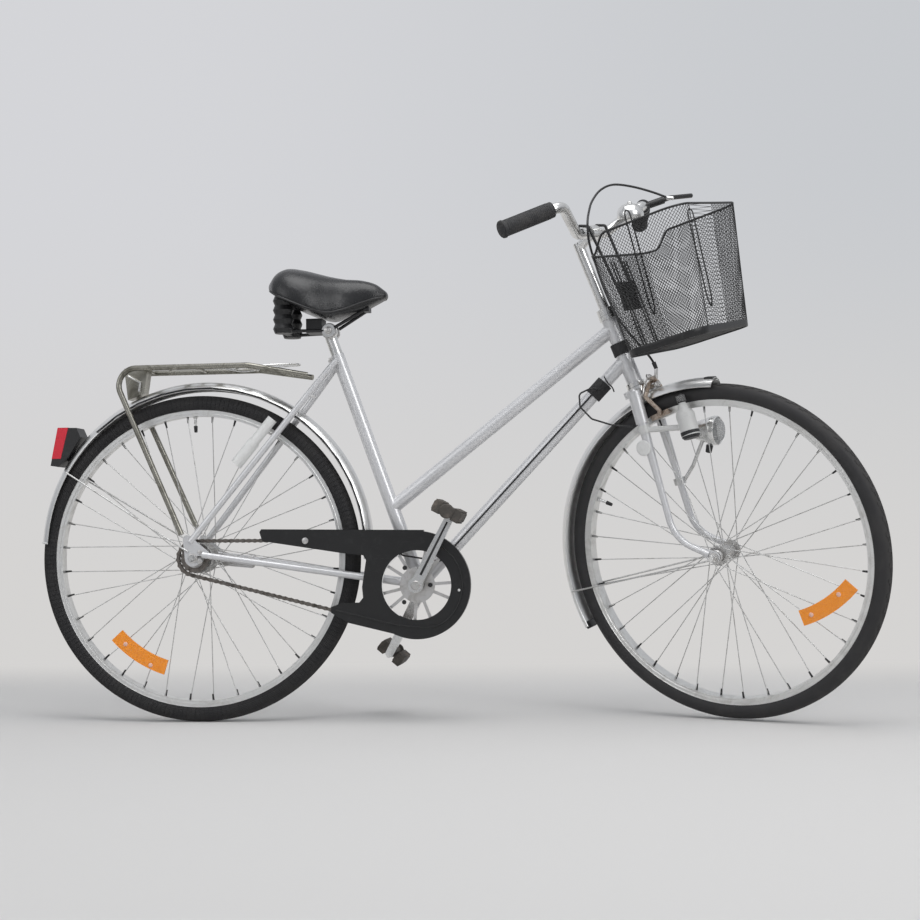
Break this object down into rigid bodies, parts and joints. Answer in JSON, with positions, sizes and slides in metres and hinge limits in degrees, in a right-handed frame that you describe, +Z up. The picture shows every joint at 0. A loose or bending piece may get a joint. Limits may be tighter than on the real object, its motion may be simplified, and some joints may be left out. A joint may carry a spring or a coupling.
{
  "type": "step-through bicycle",
  "caption": "City bicycle with a low sloping frame, full fenders, wire basket, rear rack, chain guard, lamps and a padded saddle.",
  "frame": {"origin": "where the rider sits, on top of the saddle in the bicycle's middle plane", "axes": "+X forward, +Y to the rider's left, +Z up"},
  "size_m": [1.7718, 0.5455, 1.1377],
  "materials": {
    "frame_paint": "light silver lacquer",
    "chrome": "worn chrome plate",
    "polished_sheet": "polished sheet",
    "dull_chrome": "dulled chrome tube",
    "rubber": "black rubber",
    "tyre": "dark grey rubber",
    "rim_metal": "satin",
    "spoke_steel": "drawn wire",
    "hub_metal": "satin",
    "vinyl": "black vinyl",
    "black_plastic": "black",
    "guard_plastic": "satin black",
    "red_lens": "clear red",
    "amber": "prismatic orange",
    "chain_steel": "oiled, a little rusty",
    "black_wire": "black coated wire",
    "lamp_clear": "clear lens",
    "silver_plastic": "silver"
  },
  "bodies": {
    "frame": {"head_tube": "frame_paint", "headset_cups": "chrome", "top_tube": "frame_paint", "down_tube": "frame_paint", "seat_tube": "frame_paint", "bracket_shell": "frame_paint", "seat_stays": "frame_paint", "chain_stays": "frame_paint", "rear_axle": "chrome", "seat_post": "chrome", "saddle": "vinyl", "saddle_springs": "black_plastic", "rear_fender": "polished_sheet", "rear_fender_stays": "polished_sheet", "rear_rack": "dull_chrome", "rack_plate": "dull_chrome", "rear_lamp_housing": "black_plastic", "rear_lamp_lens": "red_lens", "chain_guard": "guard_plastic", "chain": "chain_steel", "brake_arm": "chrome", "stay_lock": "silver_plastic", "lamp_wire_rear": "black_plastic", "lamp_wire_loop": "black_plastic"},
    "crankset": {"chainring": "polished_sheet", "crank_right": "chrome", "crank_left": "chrome", "spindles": "chrome"},
    "right_pedal": {"pedal_right": "rubber"},
    "left_pedal": {"pedal_left": "rubber"},
    "rear_sprocket": {"sprocket": "chain_steel"},
    "rear_wheel": {"rear_tyre": "tyre", "rear_rim": "rim_metal", "rear_hub": "hub_metal", "rear_spokes": "spoke_steel", "rear_reflector": "amber"},
    "steering": {"fork_crown": "frame_paint", "fork_blades": "frame_paint", "front_axle": "chrome", "head_rings": "chrome", "stem": "chrome", "handlebar": "chrome", "grips": "rubber", "brake_lever": "black_plastic", "bell": "chrome", "front_fender": "polished_sheet", "front_fender_stays": "polished_sheet", "front_brake": "chrome", "basket": "black_wire", "basket_hooks": "black_wire", "headlamp": "silver_plastic", "headlamp_lens": "lamp_clear", "headlamp_bracket": "silver_plastic", "dynamo": "silver_plastic", "brake_cable": "black_plastic"},
    "front_wheel": {"front_tyre": "tyre", "front_rim": "rim_metal", "front_hub": "hub_metal", "front_spokes": "spoke_steel", "front_reflector": "amber"}
  },
  "joints": [
    {"name": "steering", "type": "hinge", "parent": "frame", "child": "steering", "pos_m": [0.82279, 0, -0.62105], "axis": [-0.3584, 0, 0.9336], "range_deg": [-46.8, 103.2], "deforming": ["lamp_wire_loop"]},
    {"name": "front_wheel_spin", "type": "hinge", "parent": "steering", "child": "front_wheel", "pos_m": [0.85735, -0.01985, -0.60779], "axis": [0.4412, 0.8813, 0.1693], "continuous": true},
    {"name": "rear_wheel_spin", "type": "hinge", "parent": "frame", "child": "rear_wheel", "pos_m": [-0.25, 0, -0.606], "axis": [0, 1, 0], "continuous": true},
    {"name": "crank_spin", "type": "hinge", "parent": "frame", "child": "crankset", "pos_m": [0.2246, 0, -0.6667], "axis": [0, 1, 0], "continuous": true},
    {"name": "right_pedal_spin", "type": "hinge", "parent": "crankset", "child": "right_pedal", "pos_m": [0.30336, -0.1, -0.51605], "axis": [0, 1, 0], "continuous": true},
    {"name": "left_pedal_spin", "type": "hinge", "parent": "crankset", "child": "left_pedal", "pos_m": [0.14584, 0.1, -0.81735], "axis": [0, 1, 0], "continuous": true},
    {"name": "sprocket_spin", "type": "hinge", "parent": "frame", "child": "rear_sprocket", "pos_m": [-0.25, 0, -0.606], "axis": [0, 1, 0], "continuous": true}
  ],
  "couplings": [
    {"joint": "sprocket_spin", "follows": "crank_spin", "ratio": 2.5556}
  ]
}
